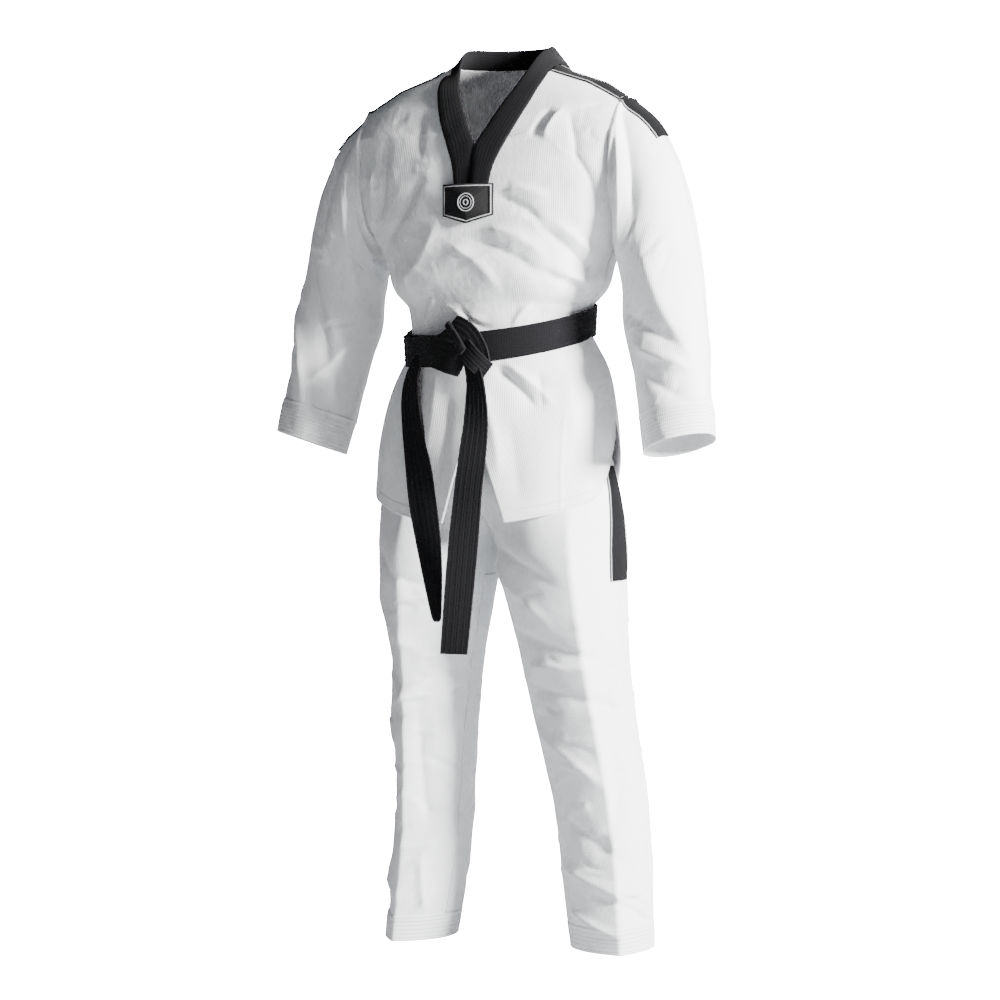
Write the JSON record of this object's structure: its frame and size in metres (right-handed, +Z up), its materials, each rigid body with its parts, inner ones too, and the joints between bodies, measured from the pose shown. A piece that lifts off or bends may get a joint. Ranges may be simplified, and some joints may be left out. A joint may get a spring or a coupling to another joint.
{
  "type": "martial arts uniform",
  "caption": "Pullover V-neck training jacket with a knotted black belt and straight trousers, open inside as worn on a figure.",
  "frame": {"origin": "middle of the base of the neck, between the shoulder tops", "axes": "+Z up, -Y out of the wearer's chest, +X to the wearer's left"},
  "size_m": [0.7614, 0.309, 1.4432],
  "materials": {
    "jacket_cloth": "matte ribbed white cloth",
    "trouser_cloth": "matte smooth white cloth",
    "mesh_cloth": "matte white mesh",
    "collar_band": "matte black quilted cotton",
    "belt_cotton": "matte black stitched cotton",
    "side_tape": "satin black tape with grey edges",
    "patch_twill": "matte black twill",
    "patch_thread": "satin grey thread"
  },
  "bodies": {
    "torso": {"jacket_front": "jacket_cloth", "jacket_back": "jacket_cloth", "collar_right": "collar_band", "collar_left": "collar_band", "collar_back": "collar_band", "chest_patch": "patch_twill", "patch_border": "patch_thread", "patch_crest": "patch_thread", "right_shoulder_tape": "side_tape", "left_shoulder_tape": "side_tape", "belt_inner_wrap": "belt_cotton", "belt_outer_wrap": "belt_cotton", "knot_core": "belt_cotton", "knot_fold": "belt_cotton", "trousers_seat_front": "trouser_cloth", "trousers_seat_back": "trouser_cloth", "trousers_waistband": "trouser_cloth", "crotch_gusset": "trouser_cloth", "left_hip_tape": "side_tape", "right_hip_tape": "side_tape"},
    "left_sleeve": {"left_sleeve_front": "jacket_cloth", "left_sleeve_back": "jacket_cloth", "left_underarm_gusset": "mesh_cloth", "left_cuff": "jacket_cloth", "left_sleeve_tape": "side_tape"},
    "right_sleeve": {"right_sleeve_front": "jacket_cloth", "right_sleeve_back": "jacket_cloth", "right_underarm_gusset": "mesh_cloth", "right_cuff": "jacket_cloth", "right_sleeve_tape": "side_tape"},
    "left_leg": {"left_leg_front": "trouser_cloth", "left_leg_back": "trouser_cloth", "left_inner_leg_panel": "mesh_cloth", "left_leg_hem": "trouser_cloth", "left_leg_tape": "side_tape"},
    "right_leg": {"right_leg_front": "trouser_cloth", "right_leg_back": "trouser_cloth", "right_inner_leg_panel": "mesh_cloth", "right_leg_hem": "trouser_cloth", "right_leg_tape": "side_tape"},
    "front_skirt": {"skirt_front": "jacket_cloth"},
    "back_skirt": {"skirt_back": "jacket_cloth"},
    "long_tail": {"belt_tail_long": "belt_cotton"},
    "short_tail": {"belt_tail_short": "belt_cotton"}
  },
  "joints": [
    {"name": "left_sleeve_raise", "type": "hinge", "parent": "torso", "child": "left_sleeve", "pos_m": [0.197, 0.009, -0.02], "axis": [0, -1, 0], "range_deg": [0, 70]},
    {"name": "right_sleeve_raise", "type": "hinge", "parent": "torso", "child": "right_sleeve", "pos_m": [-0.197, 0.009, -0.02], "axis": [0, 1, 0], "range_deg": [0, 70]},
    {"name": "left_leg_spread", "type": "hinge", "parent": "torso", "child": "left_leg", "pos_m": [0.207, 0, -0.697], "axis": [0, -1, 0], "range_deg": [0, 25]},
    {"name": "right_leg_spread", "type": "hinge", "parent": "torso", "child": "right_leg", "pos_m": [-0.207, 0, -0.697], "axis": [0, 1, 0], "range_deg": [0, 25]},
    {"name": "front_skirt_lift", "type": "hinge", "parent": "torso", "child": "front_skirt", "pos_m": [0, -0.15, -0.472], "axis": [-1, 0, 0], "range_deg": [0, 50]},
    {"name": "back_skirt_lift", "type": "hinge", "parent": "torso", "child": "back_skirt", "pos_m": [0, 0.118, -0.407], "axis": [1, 0, 0], "range_deg": [0, 40]},
    {"name": "long_tail_swing", "type": "hinge", "parent": "front_skirt", "child": "long_tail", "pos_m": [0, -0.15, -0.472], "axis": [-1, 0, 0], "range_deg": [0, 45]},
    {"name": "short_tail_swing", "type": "hinge", "parent": "front_skirt", "child": "short_tail", "pos_m": [0, -0.136, -0.472], "axis": [-1, 0, 0], "range_deg": [0, 45]}
  ]
}
